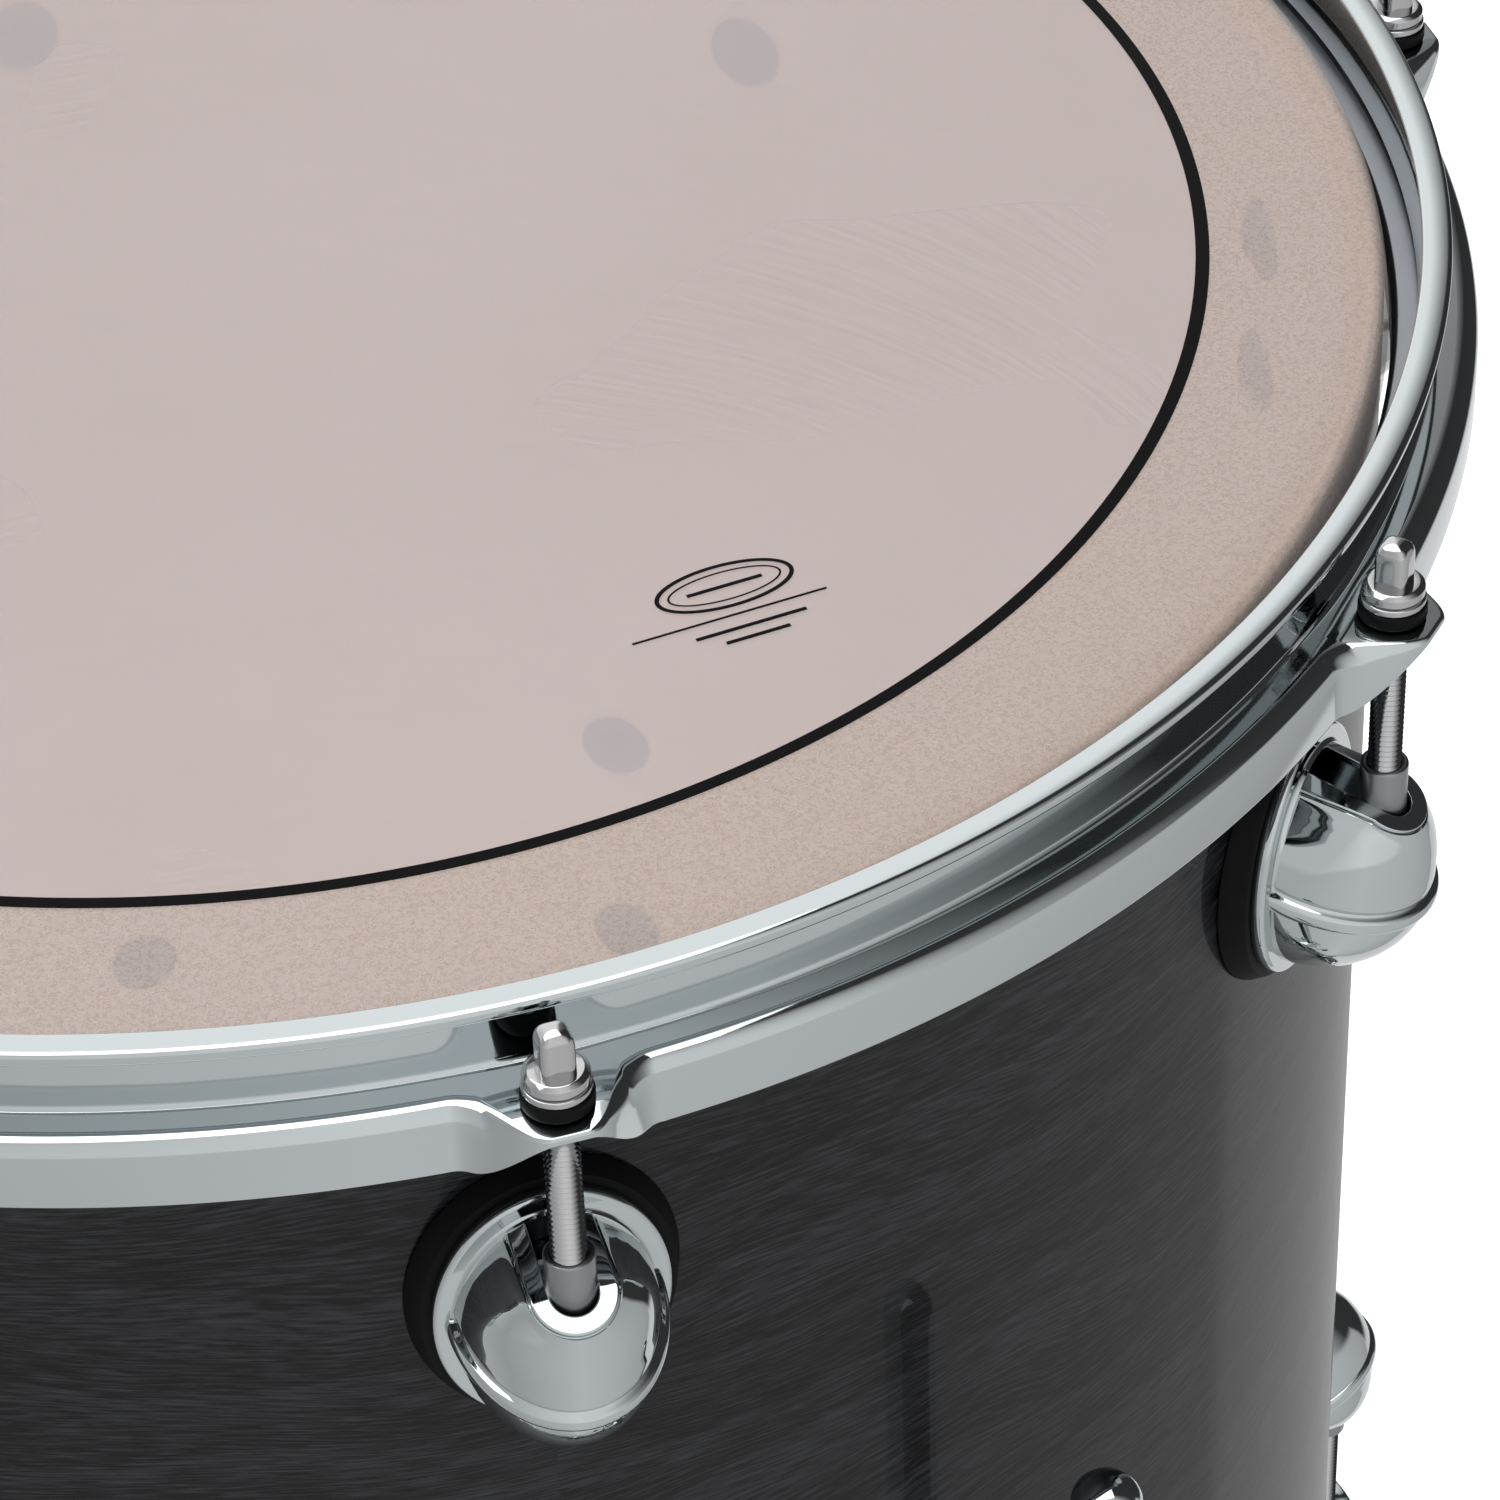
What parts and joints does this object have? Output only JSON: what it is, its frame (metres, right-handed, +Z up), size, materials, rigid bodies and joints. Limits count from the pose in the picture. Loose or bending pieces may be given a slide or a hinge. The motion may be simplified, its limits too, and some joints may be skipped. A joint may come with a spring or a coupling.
{
  "type": "floor tom drum",
  "caption": "Floor-standing double-headed tom drum: gloss dark wood shell, flanged chrome hoops, tension rods in round lugs, clear head with a ring, adjustable legs.",
  "frame": {"origin": "point on the floor under the middle of the shell", "axes": "+Z up along the shell axis towards the batter head; -Y towards the nearest lug column"},
  "size_m": [0.5003, 0.4856, 0.6484],
  "materials": {
    "shell_lacquer": "dark grey-black stained maple veneer under clear gloss lacquer outside, bare pale maple inside",
    "chrome": "polished chrome plate",
    "rod_steel": "chromed square head, plated steel thread, black nylon washer under a steel washer",
    "head_film": "clear two-ply polyester film with a thin black ring and a finely frosted edge band",
    "flesh_hoop": "satin aluminium channel",
    "rubber": "matt black moulded rubber"
  },
  "bodies": {
    "drum": {"shell": "shell_lacquer", "air_vent_grommet": "chrome", "batter_lug_01": "chrome", "batter_lug_02": "chrome", "batter_lug_03": "chrome", "batter_lug_04": "chrome", "batter_lug_05": "chrome", "batter_lug_06": "chrome", "batter_lug_07": "chrome", "batter_lug_08": "chrome", "resonant_lug_01": "chrome", "resonant_lug_02": "chrome", "resonant_lug_03": "chrome", "resonant_lug_04": "chrome", "resonant_lug_05": "chrome", "resonant_lug_06": "chrome", "resonant_lug_07": "chrome", "resonant_lug_08": "chrome", "leg_bracket_01": "chrome", "leg_bracket_02": "chrome", "leg_bracket_03": "chrome"},
    "batter_rim": {"batter_hoop": "chrome", "batter_head_film": "head_film", "batter_head_flesh_hoop": "flesh_hoop"},
    "batter_tension_rod_01": {"batter_tension_rod_01": "rod_steel"},
    "batter_tension_rod_02": {"batter_tension_rod_02": "rod_steel"},
    "batter_tension_rod_03": {"batter_tension_rod_03": "rod_steel"},
    "batter_tension_rod_04": {"batter_tension_rod_04": "rod_steel"},
    "batter_tension_rod_05": {"batter_tension_rod_05": "rod_steel"},
    "batter_tension_rod_06": {"batter_tension_rod_06": "rod_steel"},
    "batter_tension_rod_07": {"batter_tension_rod_07": "rod_steel"},
    "batter_tension_rod_08": {"batter_tension_rod_08": "rod_steel"},
    "resonant_rim": {"resonant_hoop": "chrome", "resonant_head_film": "head_film", "resonant_head_flesh_hoop": "flesh_hoop"},
    "resonant_tension_rod_01": {"resonant_tension_rod_01": "rod_steel"},
    "resonant_tension_rod_02": {"resonant_tension_rod_02": "rod_steel"},
    "resonant_tension_rod_03": {"resonant_tension_rod_03": "rod_steel"},
    "resonant_tension_rod_04": {"resonant_tension_rod_04": "rod_steel"},
    "resonant_tension_rod_05": {"resonant_tension_rod_05": "rod_steel"},
    "resonant_tension_rod_06": {"resonant_tension_rod_06": "rod_steel"},
    "resonant_tension_rod_07": {"resonant_tension_rod_07": "rod_steel"},
    "resonant_tension_rod_08": {"resonant_tension_rod_08": "rod_steel"},
    "leg_01": {"leg_01": "chrome", "rubber_foot_01": "rubber"},
    "wing_bolt_01": {"wing_bolt_01": "chrome"},
    "memory_lock_01": {"memory_lock_01": "chrome"},
    "leg_02": {"leg_02": "chrome", "rubber_foot_02": "rubber"},
    "wing_bolt_02": {"wing_bolt_02": "chrome"},
    "memory_lock_02": {"memory_lock_02": "chrome"},
    "leg_03": {"leg_03": "chrome", "rubber_foot_03": "rubber"},
    "wing_bolt_03": {"wing_bolt_03": "chrome"},
    "memory_lock_03": {"memory_lock_03": "chrome"}
  },
  "joints": [
    {"name": "batter_rim_lift", "type": "slide", "parent": "drum", "child": "batter_rim", "axis": [0, 0, 1], "range_m": [0, 0.02]},
    {"name": "batter_rod_turn_01", "type": "hinge", "parent": "batter_rim", "child": "batter_tension_rod_01", "pos_m": [0, -0.2216, 0.64], "axis": [0, 0, 1], "range_deg": [0, 6805]},
    {"name": "batter_rod_turn_02", "type": "hinge", "parent": "batter_rim", "child": "batter_tension_rod_02", "pos_m": [0.1567, -0.1567, 0.64], "axis": [0, 0, 1], "range_deg": [0, 6805]},
    {"name": "batter_rod_turn_03", "type": "hinge", "parent": "batter_rim", "child": "batter_tension_rod_03", "pos_m": [0.2216, 0, 0.64], "axis": [0, 0, 1], "range_deg": [0, 6805]},
    {"name": "batter_rod_turn_04", "type": "hinge", "parent": "batter_rim", "child": "batter_tension_rod_04", "pos_m": [0.1567, 0.1567, 0.64], "axis": [0, 0, 1], "range_deg": [0, 6805]},
    {"name": "batter_rod_turn_05", "type": "hinge", "parent": "batter_rim", "child": "batter_tension_rod_05", "pos_m": [0, 0.2216, 0.64], "axis": [0, 0, 1], "range_deg": [0, 6805]},
    {"name": "batter_rod_turn_06", "type": "hinge", "parent": "batter_rim", "child": "batter_tension_rod_06", "pos_m": [-0.1567, 0.1567, 0.64], "axis": [0, 0, 1], "range_deg": [0, 6805]},
    {"name": "batter_rod_turn_07", "type": "hinge", "parent": "batter_rim", "child": "batter_tension_rod_07", "pos_m": [-0.2216, 0, 0.64], "axis": [0, 0, 1], "range_deg": [0, 6805]},
    {"name": "batter_rod_turn_08", "type": "hinge", "parent": "batter_rim", "child": "batter_tension_rod_08", "pos_m": [-0.1567, -0.1567, 0.64], "axis": [0, 0, 1], "range_deg": [0, 6805]},
    {"name": "resonant_rim_lift", "type": "slide", "parent": "drum", "child": "resonant_rim", "axis": [0, 0, -1], "range_m": [0, 0.02]},
    {"name": "resonant_rod_turn_01", "type": "hinge", "parent": "resonant_rim", "child": "resonant_tension_rod_01", "pos_m": [0, -0.2216, 0.2336], "axis": [0, 0, -1], "range_deg": [0, 6805]},
    {"name": "resonant_rod_turn_02", "type": "hinge", "parent": "resonant_rim", "child": "resonant_tension_rod_02", "pos_m": [0.1567, -0.1567, 0.2336], "axis": [0, 0, -1], "range_deg": [0, 6805]},
    {"name": "resonant_rod_turn_03", "type": "hinge", "parent": "resonant_rim", "child": "resonant_tension_rod_03", "pos_m": [0.2216, 0, 0.2336], "axis": [0, 0, -1], "range_deg": [0, 6805]},
    {"name": "resonant_rod_turn_04", "type": "hinge", "parent": "resonant_rim", "child": "resonant_tension_rod_04", "pos_m": [0.1567, 0.1567, 0.2336], "axis": [0, 0, -1], "range_deg": [0, 6805]},
    {"name": "resonant_rod_turn_05", "type": "hinge", "parent": "resonant_rim", "child": "resonant_tension_rod_05", "pos_m": [0, 0.2216, 0.2336], "axis": [0, 0, -1], "range_deg": [0, 6805]},
    {"name": "resonant_rod_turn_06", "type": "hinge", "parent": "resonant_rim", "child": "resonant_tension_rod_06", "pos_m": [-0.1567, 0.1567, 0.2336], "axis": [0, 0, -1], "range_deg": [0, 6805]},
    {"name": "resonant_rod_turn_07", "type": "hinge", "parent": "resonant_rim", "child": "resonant_tension_rod_07", "pos_m": [-0.2216, 0, 0.2336], "axis": [0, 0, -1], "range_deg": [0, 6805]},
    {"name": "resonant_rod_turn_08", "type": "hinge", "parent": "resonant_rim", "child": "resonant_tension_rod_08", "pos_m": [-0.1567, -0.1567, 0.2336], "axis": [0, 0, -1], "range_deg": [0, 6805]},
    {"name": "leg_height_01", "type": "slide", "parent": "drum", "child": "leg_01", "axis": [0, 0, 1], "range_m": [-0.12, 0]},
    {"name": "wing_bolt_turn_01", "type": "hinge", "parent": "drum", "child": "wing_bolt_01", "pos_m": [0.08851, -0.21369, 0.342], "axis": [-0.9239, -0.3827, 0], "range_deg": [0, 360]},
    {"name": "memory_lock_slide_01", "type": "slide", "parent": "leg_01", "child": "memory_lock_01", "axis": [0, 0, 1], "range_m": [-0.1, 0]},
    {"name": "leg_height_02", "type": "slide", "parent": "drum", "child": "leg_02", "axis": [0, 0, 1], "range_m": [-0.12, 0]},
    {"name": "wing_bolt_turn_02", "type": "hinge", "parent": "drum", "child": "wing_bolt_02", "pos_m": [0.1285, 0.19232, 0.342], "axis": [0.8315, -0.5556, 0], "range_deg": [0, 360]},
    {"name": "memory_lock_slide_02", "type": "slide", "parent": "leg_02", "child": "memory_lock_02", "axis": [0, 0, 1], "range_m": [-0.1, 0]},
    {"name": "leg_height_03", "type": "slide", "parent": "drum", "child": "leg_03", "axis": [0, 0, 1], "range_m": [-0.12, 0]},
    {"name": "wing_bolt_turn_03", "type": "hinge", "parent": "drum", "child": "wing_bolt_03", "pos_m": [-0.22686, 0.04512, 0.342], "axis": [0.1951, 0.9808, 0], "range_deg": [0, 360]},
    {"name": "memory_lock_slide_03", "type": "slide", "parent": "leg_03", "child": "memory_lock_03", "axis": [0, 0, 1], "range_m": [-0.1, 0]}
  ],
  "couplings": [
    {"joint": "batter_rod_turn_01", "follows": "batter_rim_lift", "rad_per_m": 5936.9},
    {"joint": "batter_rod_turn_02", "follows": "batter_rim_lift", "rad_per_m": 5936.9},
    {"joint": "batter_rod_turn_03", "follows": "batter_rim_lift", "rad_per_m": 5936.9},
    {"joint": "batter_rod_turn_04", "follows": "batter_rim_lift", "rad_per_m": 5936.9},
    {"joint": "batter_rod_turn_05", "follows": "batter_rim_lift", "rad_per_m": 5936.9},
    {"joint": "batter_rod_turn_06", "follows": "batter_rim_lift", "rad_per_m": 5936.9},
    {"joint": "batter_rod_turn_07", "follows": "batter_rim_lift", "rad_per_m": 5936.9},
    {"joint": "batter_rod_turn_08", "follows": "batter_rim_lift", "rad_per_m": 5936.9},
    {"joint": "resonant_rod_turn_01", "follows": "resonant_rim_lift", "rad_per_m": 5936.9},
    {"joint": "resonant_rod_turn_02", "follows": "resonant_rim_lift", "rad_per_m": 5936.9},
    {"joint": "resonant_rod_turn_03", "follows": "resonant_rim_lift", "rad_per_m": 5936.9},
    {"joint": "resonant_rod_turn_04", "follows": "resonant_rim_lift", "rad_per_m": 5936.9},
    {"joint": "resonant_rod_turn_05", "follows": "resonant_rim_lift", "rad_per_m": 5936.9},
    {"joint": "resonant_rod_turn_06", "follows": "resonant_rim_lift", "rad_per_m": 5936.9},
    {"joint": "resonant_rod_turn_07", "follows": "resonant_rim_lift", "rad_per_m": 5936.9},
    {"joint": "resonant_rod_turn_08", "follows": "resonant_rim_lift", "rad_per_m": 5936.9}
  ]
}
